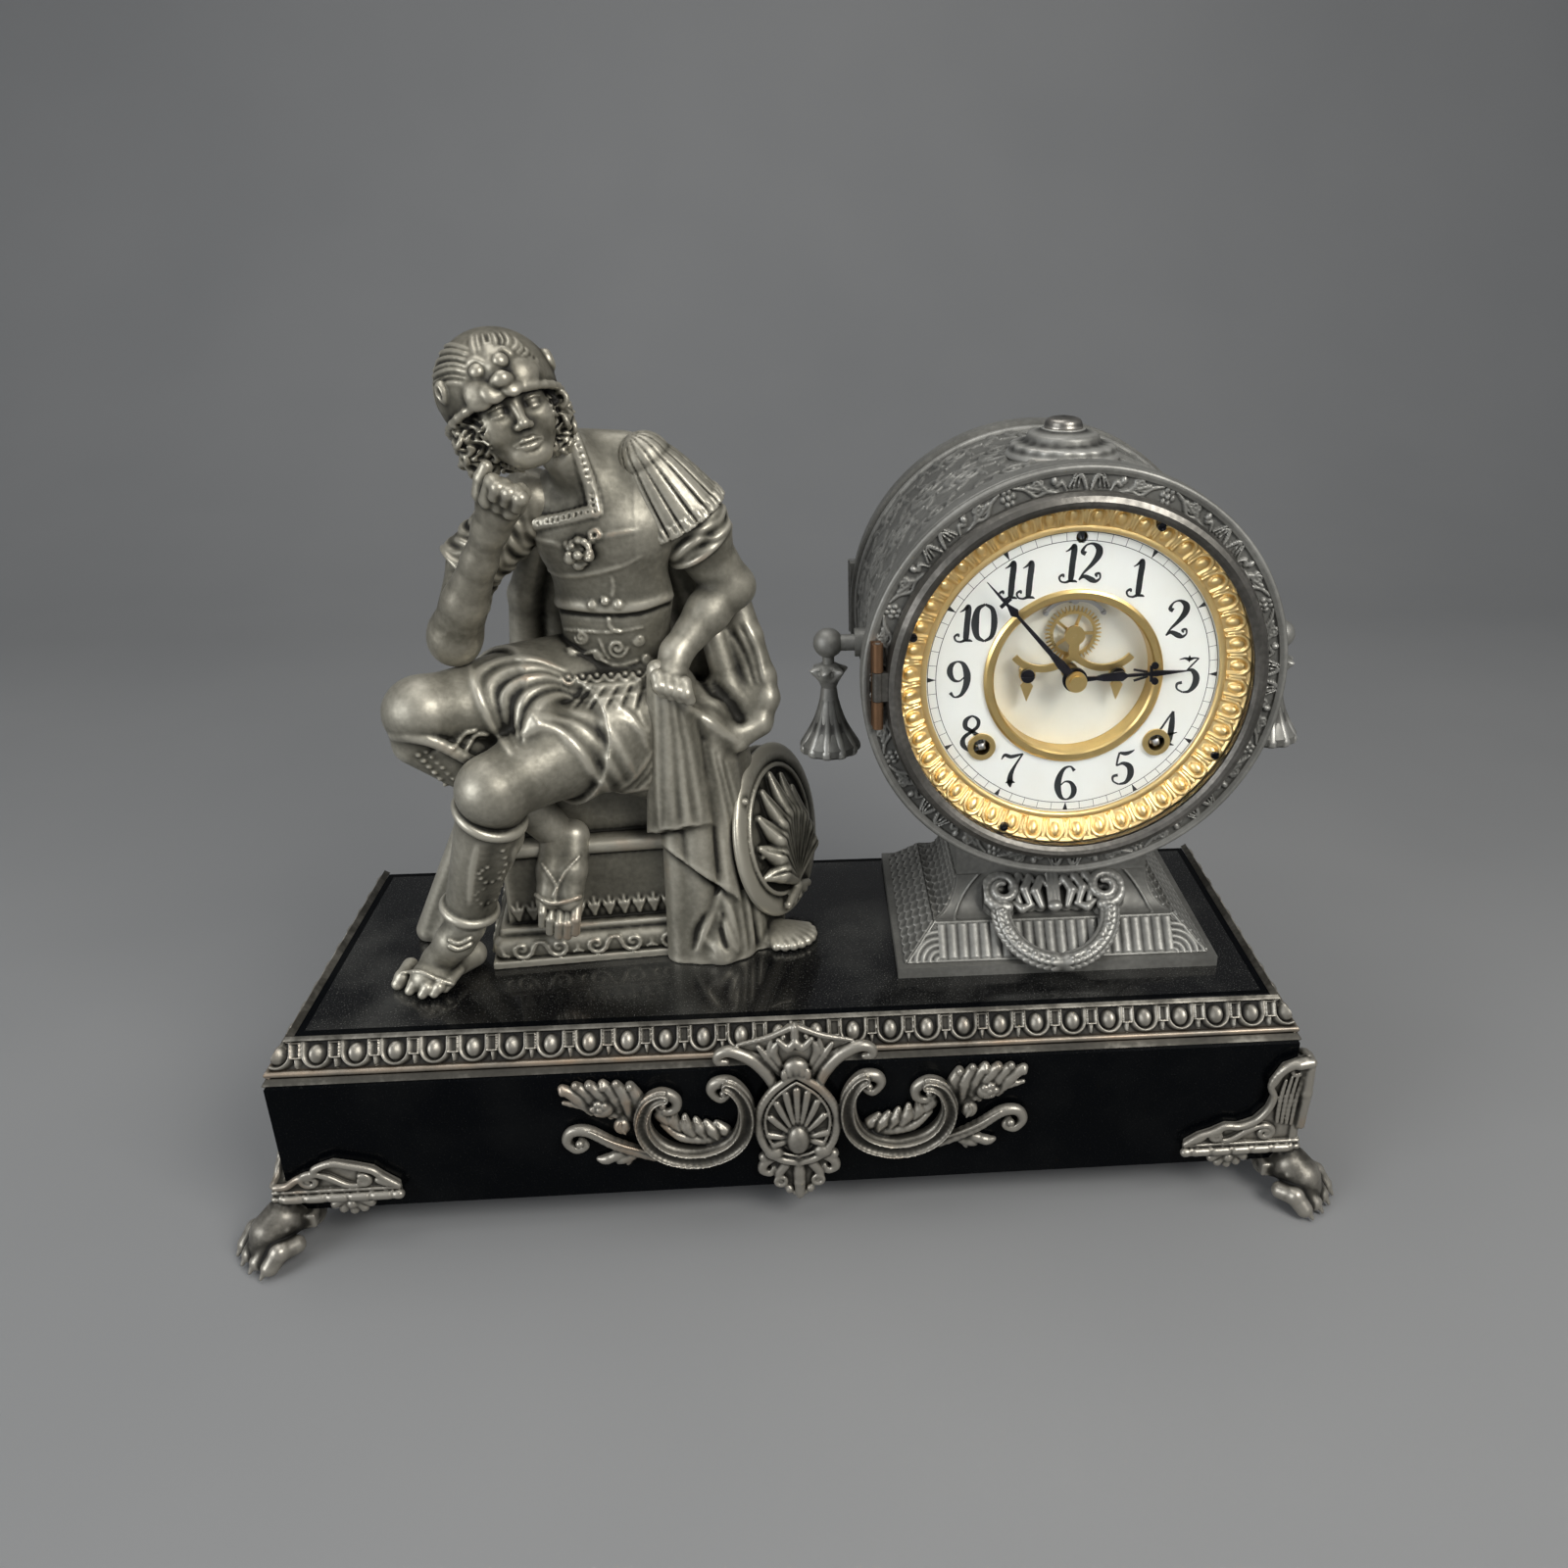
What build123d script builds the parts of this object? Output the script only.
from build123d import *
import math
import os

os.makedirs("parts", exist_ok=True)

# Figural mantel clock: black iron base, seated soldier on the left, drum clock on the right.
# All sizes are in millimetres, X to the right, Y to the back, Z up, floor at Z = 0.

# Base case
BASE_W = 440.0
BASE_D = 164.0
BODY_Z = 18.0
BODY_H = 63.5
SLOPE_RUN = 12.0
SLOPE_RISE = 18.5
WALL = 4.0
DECK = 3.0
PLATE_T = 4.0
PLATE_RIM = 3.0
CORNER_BLOCK = 26.0
TOP_Z = BODY_Z + BODY_H + SLOPE_RISE
TOP_W = BASE_W - 2 * SLOPE_RUN
TOP_D = BASE_D - 2 * SLOPE_RUN
SIDE_X = BASE_W / 2
FRONT_Y = -BASE_D / 2
SHOULDER_Z = BODY_Z + BODY_H

# Fits
RUN_FIT = 0.05
GAP = 0.3
SEAT = 0.05

# Screws that hold the feet, the figure and the drum stand
SCREW_R = 1.9
SCREW_L = 12.0
SCREW_HEAD_R = 3.6
SCREW_HEAD_H = 2.2
SCREW_HOLE_R = SCREW_R + 0.1
FOOT_PAD = 7.0

# Feet
WING_L = 48.0
WING_T = 5.0
BEAD_Z = 28.0
BEAD_R = 2.6
LEAF_TOP = 76.0
LOW_TOP = 46.0
ROSETTE_R = 9.5
PAW_REACH = 21.0
TOE_R = 4.8

# Cast bands on the slope
BAND_FOOT = 1.5
BAND_HEAD = 21.8
BAND_T = 3.0
BAND_SWELL = 4.2
MITRE_GAP = 0.3

# Front ornament
ORN_X = -1.0
ORN_T = 6.0
CARTOUCHE_Z = 56.0
CARTOUCHE_W = 17.5
CARTOUCHE_H = 23.5
CROWN_TOP = 105.0
CROWN_W = 28.0
DROP_Z = 12.5
SCROLL_W = 6.5

# Drum and its stand
DRUM_X = 118.5
DRUM_Z = 238.0
DRUM_R = 84.0
DRUM_WALL = 2.5
DRUM_FRONT = -34.5
DRUM_BACK = 78.0
FLANGE_T = 2.0
FLANGE_R = 54.0
RING_R = 88.5
RING_IN = 74.0
RING_FRONT = -44.0
RING_LIP = -30.0
REAR_RIM_R = 87.5
REAR_RIM_L = 8.0
STAND_W = 146.0
STAND_FRONT = -46.0
STAND_BACK = 66.0
STAND_FILLET = 5.0
FLUTE_SET = 4.0
FLUTE_RUN = 13.5
FLUTE_RISE = 13.5
COVE_RUN = 11.5
COVE_RISE = 19.0
STAND_WALL = 6.0
WREATH_R = 25.0
WREATH_T = 4.2
FINIAL_Y = 12.0
FINIAL_R = 22.0
FINIAL_TOP = 336.0
BALL_R = 6.5
BALL_OUT = 16.5
BALL_Z = 5.0
BELL_R = 13.0
BELL_DROP = 45.0

# Dial
DIAL_R = 68.0
DIAL_FRONT = -36.5
CENTRE_R = 33.4
WELL_R = 33.5
WELL_WALL = 1.5
CENTRE_FRONT = -28.5
CENTRE_BACK = -27.0
SIGHT_IN = 61.5
SIGHT_OUT = 73.5
SIGHT_FRONT = -43.4
SIGHT_SCREW_R = 70.6
SIGHT_SCREW_ANGLES = (-29, 65, 163, 247)
WIND_X = 37.5
WIND_Z = -30.0
WIND_HOLE_R = 4.6
GROMMET_T = 1.0
REG_Z = 58.6
REG_HOLE_R = 2.4

# Front door and rear door
DOOR_R = 79.0
DOOR_IN = 72.6
DOOR_BACK = -44.6
DOOR_FRONT = -51.0
GLASS_R = 75.0
GLASS_T = 2.0
GLASS_BACK = -47.2
HINGE_OUT = 82.0
HINGE_Y = -48.0
KNUCKLE_R = 2.2
PIN_R = 1.0
HINGE_LOW = -16.0
HINGE_HIGH = 20.0
REAR_DOOR_T = 2.0
REAR_HINGE_OUT = 86.0
REAR_HINGE_Y = 82.0

# Hands, shown at seven minutes to three
MINUTE_L = 57.0
HOUR_L = 47.0
MINUTE_ANGLE = 90 - 318
HOUR_ANGLE = 90 - 86.5
HOUR_HAND_Y = -40.4
MINUTE_HAND_Y = -42.2
HAND_T = 1.0

# Movement
PLATE_FRONT_Y = -16.0
PLATE_BACK_Y = 22.0
MOVE_PLATE_T = 2.0
PLATE_HALF_W = 48.0
PLATE_LOW = -61.0
PLATE_HIGH = 52.0
PILLARS = ((-42.0, 44.0), (42.0, 44.0), (-14.0, -56.5), (14.0, -56.5))
ARBOR_R = 2.0
FINE_ARBOR_R = 0.75
ESCAPE_Z = 17.2
ESCAPE_R = 11.8
ESCAPE_TEETH = 40
ESCAPE_Y = -31.4
PALLET_Z = 31.4
PALLET_PIN_X = 12.0
PALLET_PIN_Z = 26.2
PENDULUM_L = 92.0
BOB_R = 13.0
BRIDGE_Y = -35.0
BRIDGE_T = 1.6
BRIDGE_FOOT_X = 19.0
BRIDGE_FOOT_Z = 0.6

# Gears: tooth counts and modules
PRESSURE = math.radians(25)
ADDENDUM = 0.62
DEDENDUM = 0.95
TOOTH_SHARE = 0.43
MOTION_OFFSET = 12.5
CANNON_TEETH = 12
MINUTE_TEETH = 36
MINUTE_PINION_TEETH = 10
HOUR_TEETH = 40
GREAT_TEETH = 72
GREAT_MODULE = 0.75
SECOND_PINION_TEETH = 10
SECOND_TEETH = 60
SECOND_MODULE = 0.6
CENTRE_PINION_TEETH = 10
CENTRE_TEETH = 84
CENTRE_MODULE = 0.36
THIRD_PINION_TEETH = 7
THIRD_TEETH = 84
THIRD_MODULE = 0.3
ESCAPE_PINION_TEETH = 7


# Small helpers

def box(x0, x1, y0, y1, z0, z1):
    return Pos((x0 + x1) / 2, (y0 + y1) / 2, (z0 + z1) / 2) * Box(x1 - x0, y1 - y0, z1 - z0)


def rod_y(x, z, r, y0, y1):
    return Pos(x, (y0 + y1) / 2, z) * Rot(90, 0, 0) * Cylinder(r, y1 - y0)


def rod_z(x, y, r, z0, z1):
    return Pos(x, y, (z0 + z1) / 2) * Cylinder(r, z1 - z0)


def rod_x(y, z, r, x0, x1):
    return Pos((x0 + x1) / 2, y, z) * Rot(0, 90, 0) * Cylinder(r, x1 - x0)


def turned_y(points, x, z):
    profile = make_face(Polyline(*points, close=True))
    return Pos(x, 0, z) * revolve(profile, Axis.Y)


def turned_z(points, x, y):
    profile = make_face(Polyline(*[(r, 0, h) for r, h in points], close=True))
    return Pos(x, y, 0) * revolve(profile, Axis.Z)


def slab_y(shape, y0, y1, x=0.0, z=0.0):
    return Pos(x, y0, z) * extrude(Plane.XZ * shape, amount=y1 - y0, dir=(0, 1, 0))


def frustum(w0, d0, z0, w1, d1, z1, x=0.0, y=0.0):
    low = Pos(x, y, z0) * Rectangle(w0, d0)
    high = Pos(x, y, z1) * Rectangle(w1, d1)
    return loft([low, high])


LIMB_SIDES = 12


def limb(a, b, radii):
    # twelve-sided limb from a to b, its radii at even steps, both ends drawn in
    axis = Vector(*b) - Vector(*a)
    steps = len(radii) - 1
    first, last = radii[0], radii[-1]
    stations = [(0.35 * first, -0.9 * first), (0.75 * first, -0.62 * first)]
    stations += [(r, axis.length * i / steps) for i, r in enumerate(radii)]
    stations += [(0.75 * last, axis.length + 0.62 * last), (0.35 * last, axis.length + 0.9 * last)]
    rings = []
    for r, h in stations:
        angles = [2 * math.pi * k / LIMB_SIDES for k in range(LIMB_SIDES)]
        rings.append([Vector(r * math.cos(t), r * math.sin(t), h) for t in angles])
    faces = [Face(Wire.make_polygon(ring, close=True)) for ring in (rings[0], rings[-1])]
    for low, high in zip(rings, rings[1:]):
        for k in range(LIMB_SIDES):
            n = (k + 1) % LIMB_SIDES
            faces.append(Face(Wire.make_polygon([low[k], low[n], high[n], high[k]], close=True)))
    return Plane(origin=a, z_dir=axis).location * Solid(Shell(faces))


def smooth(points, steps=6):
    # points along a Catmull-Rom curve through the given ones
    ends = [points[0], *points, points[-1]]
    curve = []
    for p0, p1, p2, p3 in zip(ends, ends[1:], ends[2:], ends[3:]):
        for k in range(steps):
            t = k / steps
            curve.append(tuple(
                0.5 * (2 * q1 + (q2 - q0) * t + (2 * q0 - 5 * q1 + 4 * q2 - q3) * t ** 2
                       + (3 * q1 - q0 - 3 * q2 + q3) * t ** 3)
                for q0, q1, q2, q3 in zip(p0, p1, p2, p3)))
    return curve + [points[-1]]


def ribbon(points, width):
    # flat strip of even width along a smooth path
    path = smooth(points)
    left, right = [], []
    for i, (x, z) in enumerate(path):
        ax, az = path[max(i - 1, 0)]
        bx, bz = path[min(i + 1, len(path) - 1)]
        length = math.hypot(bx - ax, bz - az)
        nx, nz = -(bz - az) / length * width / 2, (bx - ax) / length * width / 2
        left.append((x + nx, z + nz))
        right.append((x - nx, z - nz))
    return Polygon(*left, *reversed(right), align=None)


def biggest(shape):
    return max(shape.solids(), key=lambda solid: solid.volume)


def group(shapes):
    return Compound(children=[solid for shape in shapes for solid in shape.solids()])


def save(name, shape):
    export_step(shape, f"parts/{name}.step")


# Gear drawing: stub involute teeth, one straight chord or two per flank

def involute(angle):
    return math.tan(angle) - angle


def gear_outline(teeth, module, phase):
    pitch_r = teeth * module / 2
    base_r = pitch_r * math.cos(PRESSURE)
    root_r = pitch_r - DEDENDUM * module
    tip_r = pitch_r + ADDENDUM * module

    def half_angle(r):
        local = math.acos(min(1.0, base_r / r))
        return TOOTH_SHARE * math.pi / teeth + involute(PRESSURE) - involute(local)

    flank = [root_r, pitch_r, tip_r] if teeth < 16 else [root_r, tip_r]
    points = []
    for i in range(teeth):
        centre = phase + 2 * math.pi * i / teeth
        for r in flank:
            a = centre - half_angle(r)
            points.append((r * math.cos(a), r * math.sin(a)))
        for r in reversed(flank):
            a = centre + half_angle(r)
            points.append((r * math.cos(a), r * math.sin(a)))
    return Polygon(*points, align=None)


def meshed_phase(teeth, phase, other_teeth, toward):
    pitch = 2 * math.pi / teeth
    offset = (toward - phase) % pitch
    return toward + math.pi + offset * teeth / other_teeth + math.pi / other_teeth


def gear(teeth, module, phase, x, z, y0, y1):
    return slab_y(gear_outline(teeth, module, phase), y0, y1, DRUM_X + x, DRUM_Z + z)


def arbor(x, z, r, y0, y1):
    return rod_y(DRUM_X + x, DRUM_Z + z, r, y0, y1)


def bearing(a, b, from_a, from_b):
    # point at the two given distances from a and b, to the right of the line from a to b
    ax, az = a
    bx, bz = b
    span = math.hypot(bx - ax, bz - az)
    along = (from_a ** 2 - from_b ** 2 + span ** 2) / (2 * span)
    across = math.sqrt(from_a ** 2 - along ** 2)
    ux, uz = (bx - ax) / span, (bz - az) / span
    return ax + ux * along + uz * across, az + uz * along - ux * across


def direction(a, b):
    return math.atan2(b[1] - a[1], b[0] - a[0])


# Base case, top plate and their screws

shell = box(-SIDE_X, SIDE_X, FRONT_Y, -FRONT_Y, BODY_Z, SHOULDER_Z)
shell += frustum(BASE_W, BASE_D, SHOULDER_Z, TOP_W, TOP_D, TOP_Z)
ceiling = TOP_Z - PLATE_T - DECK
ceiling_share = (ceiling - SHOULDER_Z) / SLOPE_RISE
hollow = box(-SIDE_X + WALL, SIDE_X - WALL, FRONT_Y + WALL, -FRONT_Y - WALL, BODY_Z - 1, SHOULDER_Z)
hollow += frustum(
    BASE_W - 2 * WALL, BASE_D - 2 * WALL, SHOULDER_Z,
    BASE_W - 2 * WALL - 2 * SLOPE_RUN * ceiling_share,
    BASE_D - 2 * WALL - 2 * SLOPE_RUN * ceiling_share, ceiling)
for sx in (-1, 1):
    for sy in (-1, 1):
        block_x = sx * (SIDE_X - CORNER_BLOCK / 2)
        block_y = sy * (-FRONT_Y - CORNER_BLOCK / 2)
        hollow -= Pos(block_x, block_y, BODY_Z + CORNER_BLOCK / 2) * Box(
            CORNER_BLOCK, CORNER_BLOCK, CORNER_BLOCK)
shell -= hollow
plate_w = TOP_W - 2 * PLATE_RIM
plate_d = TOP_D - 2 * PLATE_RIM
plate_z = TOP_Z - PLATE_T
shell -= box(-plate_w / 2, plate_w / 2, -plate_d / 2, plate_d / 2, plate_z, TOP_Z + 1)
plate = box(
    -plate_w / 2 + SEAT, plate_w / 2 - SEAT, -plate_d / 2 + SEAT, plate_d / 2 - SEAT, plate_z, TOP_Z)

FOOT_SCREW_IN = 13.0
FIGURE_SCREWS = ((-112.0, 14.0), (-66.0, 14.0))
STAND_SCREWS = ((DRUM_X - 50, 10.0), (DRUM_X + 50, 10.0))
screws = []


def screw(x, y, seat_z):
    head = rod_z(x, y, SCREW_HEAD_R, seat_z - SCREW_HEAD_H, seat_z)
    slot = box(x - SCREW_HEAD_R, x + SCREW_HEAD_R, y - 0.5, y + 0.5, seat_z - SCREW_HEAD_H, seat_z - 1.2)
    return head - slot + rod_z(x, y, SCREW_R, seat_z, seat_z + SCREW_L)


def screw_hole(x, y, seat_z):
    return rod_z(x, y, SCREW_HOLE_R, seat_z - 0.1, seat_z + SCREW_L + 0.5)


for x, y in FIGURE_SCREWS + STAND_SCREWS:
    screws.append(screw(x, y, ceiling))
    shell -= screw_hole(x, y, ceiling)
    plate -= screw_hole(x, y, ceiling)


# Cast egg-and-dart bands on the front and side slopes

slope_len = math.hypot(SLOPE_RUN, SLOPE_RISE)
up_run = SLOPE_RUN / slope_len
up_rise = SLOPE_RISE / slope_len


def on_slope(s, n):
    return (s * up_run - n * up_rise, s * up_rise + n * up_run)


band_points = [on_slope(*p) for p in (
    (BAND_HEAD, 0), (BAND_FOOT, 0), (BAND_FOOT, BAND_T / 2), (5.0, BAND_T / 2), (5.0, BAND_T),
    (7.6, BAND_T), (8.2, BAND_T / 2))]
band_swell = on_slope(13.6, BAND_SWELL)
band_upper = [on_slope(*p) for p in ((19.0, BAND_T / 2), (19.0, BAND_T), (BAND_HEAD, BAND_T), (BAND_HEAD, 0))]


def band(half_len, offset):
    def place(p):
        return (0, -offset + p[0], SHOULDER_Z + p[1])

    low = Polyline(*[place(p) for p in band_points])
    swell = ThreePointArc(place(band_points[-1]), place(band_swell), place(band_upper[0]))
    high = Polyline(*[place(p) for p in band_upper])
    profile = make_face([*low.edges(), *swell.edges(), *high.edges()])
    strip = extrude(profile, amount=half_len, dir=(1, 0, 0), both=True)
    reach = 2 * SLOPE_RUN
    wedge = Polygon(
        (-half_len, -offset - BAND_SWELL), (half_len, -offset - BAND_SWELL),
        (half_len - reach, -offset - BAND_SWELL + reach),
        (-half_len + reach, -offset - BAND_SWELL + reach), align=None)
    return strip & (Pos(0, 0, SHOULDER_Z - 10) * extrude(wedge, amount=60))


front_band = biggest(band(SIDE_X + BAND_SWELL - MITRE_GAP, -FRONT_Y))
side_band = biggest(band(-FRONT_Y + BAND_SWELL - MITRE_GAP, SIDE_X))
side_bands = [Rot(0, 0, -90) * side_band, Rot(0, 0, 90) * side_band]


# Feet: bracket with two wings, bead row, half rosettes and a lion's paw on the corner

def wing(top, tall):
    lowest = BODY_Z + 4
    if tall:
        crest = [(WING_L - 6, 36), (WING_L - 18, 41), (22, 41.5), (13, 47), (9.5, 56), (12, 65), (5, top - 2),
                 (-WING_T, top)]
    else:
        crest = [(WING_L - 6, 36), (WING_L - 14, 42), (WING_L - 26, top), (14, 41), (6, 35), (-WING_T, 34)]
    outline = [(-WING_T, lowest), (WING_L, lowest), (WING_L, BEAD_Z + 4)] + crest
    return Polygon(*outline, align=None)


def foot(sx, sy, tall):
    top = LEAF_TOP if tall else LOW_TOP
    face = wing(top, tall)
    wing_front = slab_y(face, -WING_T, 0)
    wing_side = mirror(Rot(0, 0, -90) * wing_front, Plane.XZ)
    body = wing_front + wing_side
    rosette_u = WING_L * 0.55
    body += rod_y(rosette_u, BEAD_Z - 2, ROSETTE_R, -WING_T + 0.5, 0)
    body += rod_x(rosette_u, BEAD_Z - 2, ROSETTE_R, -WING_T + 0.5, 0)
    body += rod_x(-WING_T, BEAD_Z, BEAD_R, -WING_T, WING_L)
    body += rod_y(-WING_T, BEAD_Z, BEAD_R, -WING_T, WING_L)
    body += box(-WING_T, CORNER_BLOCK - 4, -WING_T, CORNER_BLOCK - 4, BODY_Z - FOOT_PAD, BODY_Z)
    body += box(-WING_T, 0, -WING_T, CORNER_BLOCK, BODY_Z - FOOT_PAD, BODY_Z + 6)
    body += box(-WING_T, CORNER_BLOCK, -WING_T, 0, BODY_Z - FOOT_PAD, BODY_Z + 6)
    middle = -(PAW_REACH - TOE_R) * 0.5
    body += limb((4, 4, BODY_Z - 6), (middle, middle, 7), [7, 8, 8])
    across = 1 / math.sqrt(2)
    for k in (-1.5, -0.5, 0.5, 1.5):
        out = PAW_REACH - TOE_R - abs(k) * 1.2
        side = k * TOE_R * 1.45
        toe_x = -out * 0.82 - side * across
        toe_y = -out * 0.82 + side * across
        body += limb((toe_x + 6, toe_y + 6, 6.0), (toe_x, toe_y, TOE_R - 0.6), [TOE_R, TOE_R])
    body -= box(-60, 60, -60, 60, -30, 0)
    body -= box(0, 100, 0, 100, BODY_Z, 120)
    body -= screw_hole(FOOT_SCREW_IN, FOOT_SCREW_IN, BODY_Z - FOOT_PAD)
    body = Pos(-SIDE_X, FRONT_Y, 0) * biggest(body)
    if sx > 0:
        body = mirror(body, Plane.YZ)
    if sy > 0:
        body = mirror(body, Plane.XZ)
    return body


feet = {
    "foot_front_left": foot(-1, -1, False),
    "foot_front_right": foot(1, -1, True),
    "foot_rear_left": foot(-1, 1, True),
    "foot_rear_right": foot(1, 1, True),
}
for sx in (-1, 1):
    for sy in (-1, 1):
        x = sx * (SIDE_X - FOOT_SCREW_IN)
        y = sy * (-FRONT_Y - FOOT_SCREW_IN)
        screws.append(screw(x, y, BODY_Z - FOOT_PAD))
        shell -= screw_hole(x, y, BODY_Z - FOOT_PAD)


# Front ornament: shell cartouche, leaf crown, drop and two leafy C-scrolls

def scroll_half(side):
    inner = [(side * x, z) for x, z in (
        (33, 71), (28, 71), (23, 62), (24, 46), (40, 35), (60, 39), (68, 53), (63, 65), (56, 67))]
    outer = [(side * x, z) for x, z in ((50, 36), (68, 40), (84, 49), (96, 50))]
    turns = [2 * math.pi * k / 16 for k in range(16)]
    flower = Polygon(*[(17 * math.cos(t), 7.5 * math.sin(t)) for t in turns], align=None)
    leaf = Polygon(*[(11 * math.cos(t), 5.2 * math.sin(t)) for t in turns], align=None)
    return [
        ribbon(inner, SCROLL_W),
        ribbon(outer, SCROLL_W - 1),
        Pos(side * 86, 60) * Rot(0, 0, side * -28) * flower,
        Pos(side * 76, 34) * Rot(0, 0, side * 20) * leaf,
        Pos(side * 34, 67) * RegularPolygon(5.5, 12),
        Pos(side * 55, 62.5) * RegularPolygon(5.5, 12),
        Pos(side * 97, 46) * RegularPolygon(5, 12),
        Pos(side * 22, 46) * RegularPolygon(8, 12),
    ]


crown = Polygon(
    (-CARTOUCHE_W * 0.7, CARTOUCHE_Z + 8), (CARTOUCHE_W * 0.7, CARTOUCHE_Z + 8), (CROWN_W * 0.62, 84),
    (CROWN_W, 90), (CROWN_W - 4, 95), (CROWN_W * 0.5, 97), (4, CROWN_TOP), (-4, CROWN_TOP),
    (-CROWN_W * 0.5, 97), (-CROWN_W + 4, 95), (-CROWN_W, 90), (-CROWN_W * 0.62, 84), align=None)
drop = Polygon(
    (-15, 38), (15, 38), (16, 28), (8, 20), (4, DROP_Z), (-4, DROP_Z), (-8, 20), (-16, 28), align=None)
cartouche = Pos(0, CARTOUCHE_Z) * Ellipse(CARTOUCHE_W, CARTOUCHE_H)
ornament = slab_y(cartouche, FRONT_Y - ORN_T - 3, FRONT_Y, ORN_X)
for shape in [crown, drop] + scroll_half(-1) + scroll_half(1):
    ornament += slab_y(shape, FRONT_Y - ORN_T, FRONT_Y, ORN_X)
ornament = biggest(ornament - front_band)


# Figure: seat, body with both legs, head, arms, drapery and shield

SEAT_TURN = 5.0
SEAT_X = -92.0
SEAT_FRONT = -22.0
SEAT_BACK = 56.0
SEAT_HALF_W = 46.0
STEP_H = 18.0
LEDGE_H = 51.0
LEDGE_T = 7.0
SEAT_H = 106.0


def seat_block(half_w, front, back, low, high):
    return Pos(SEAT_X, 0, TOP_Z) * Rot(0, 0, SEAT_TURN) * box(-half_w, half_w, front, back, low, high)


seat = seat_block(SEAT_HALF_W, SEAT_FRONT, SEAT_BACK, 0, STEP_H - 3)
seat += seat_block(SEAT_HALF_W - 4, SEAT_FRONT + 4, SEAT_BACK - 2, STEP_H - 3, STEP_H)
seat += seat_block(SEAT_HALF_W - 8, SEAT_FRONT + 9, SEAT_BACK - 4, STEP_H, LEDGE_H)
seat += seat_block(SEAT_HALF_W - 5, SEAT_FRONT + 6, SEAT_BACK - 2, LEDGE_H, LEDGE_H + LEDGE_T)
seat += seat_block(SEAT_HALF_W - 12, SEAT_FRONT + 16, SEAT_BACK - 8, LEDGE_H + LEDGE_T, SEAT_H)
for x, y in FIGURE_SCREWS:
    seat -= screw_hole(x, y, ceiling)

# Joint points of the figure
PELVIS = (-77, 12, 213)
CHEST = (-72, -5, 286)
COLLAR = (-75, -3, 311)
NECK = (-83, -9, 325)
CROWN_PT = (-111, -21, 362)
CHIN_SIDE = (-95, -24, 334)
SHOULDER_R = (-101, 2, 305)
SHOULDER_L = (-43, -2, 315)
ELBOW_R = (-130, -30, 261)
WRIST_R = (-110, -36, 303)
FINGER_R = (-105, -38, 318)
ELBOW_L = (-24, 8, 267)
WRIST_L = (-46, -12, 244)
FINGER_L = (-47, -20, 232)
HIP_R = (-92, 6, 222)
KNEE_R = (-149, -29, 226)
ANKLE_R = (-101, -15, 146)
TOE_TIP_R = (-103, -28, 121)
HIP_L = (-63, 4, 214)
KNEE_L = (-119, -46, 199)
ANKLE_L = (-143, -33, 128)
HEEL_L = (-141, -33, 108)
TOE_TIP_L = (-171, -42, 106)
SHOULDER_LINE = Vector(*SHOULDER_L) - Vector(*SHOULDER_R)

across = SHOULDER_LINE.normalized()


def beside(point, step):
    return tuple(Vector(*point) + across * step)


torso = limb(beside(PELVIS, -11), beside(CHEST, -11), [19, 15.5, 17])
torso += limb(beside(PELVIS, 11), beside(CHEST, 11), [19.5, 15, 17.5])
torso += limb(beside(CHEST, -13), beside(COLLAR, -11), [16.5, 12.5]) + limb(beside(CHEST, 13), beside(COLLAR, 12), [17, 13])
torso += limb(beside(COLLAR, -14), beside(COLLAR, 14), [11, 12, 11.5])
torso += limb(COLLAR, NECK, [12, 10.5, 9.5])
legs = limb(HIP_R, KNEE_R, [21.5, 21, 18.5, 15]) + limb(HIP_L, KNEE_L, [22, 21.5, 19, 15.5])
legs += limb(KNEE_R, ANKLE_R, [13.2, 14, 10.5, 8]) + limb(KNEE_L, ANKLE_L, [14.3, 14.6, 11, 9])
legs += limb(ANKLE_R, TOE_TIP_R, [7.6, 8.5, 6.8]) + limb(ANKLE_L, HEEL_L, [8.4, 8.7]) + limb(HEEL_L, TOE_TIP_L, [7.9, 9, 6.5])
skirt = limb((-112, -12, 224), (-52, -2, 214), [20, 26, 24])
figure_body = torso + legs + skirt
figure_body -= seat
figure_body = biggest(figure_body - box(-300, 100, -200, 200, 0, TOP_Z))

figure_head = limb(CHIN_SIDE, CROWN_PT, [17, 21.5, 23, 18])
figure_head += limb((-97, -14, 330), (-118, -16, 340), [13, 12])
figure_head = biggest(figure_head - figure_body)

arm_r = limb(SHOULDER_R, ELBOW_R, [13, 11.5, 10]) + limb(ELBOW_R, WRIST_R, [9.5, 10.5, 7])
arm_r += limb(WRIST_R, FINGER_R, [7.5, 8, 5.5])
arm_r = biggest(arm_r - figure_body - figure_head)
arm_l = limb(SHOULDER_L, ELBOW_L, [16, 14, 10.5]) + limb(ELBOW_L, WRIST_L, [10, 9, 7])
arm_l += limb(WRIST_L, FINGER_L, [7, 8.5, 7])
arm_l = biggest(arm_l - figure_body - figure_head)

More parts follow.
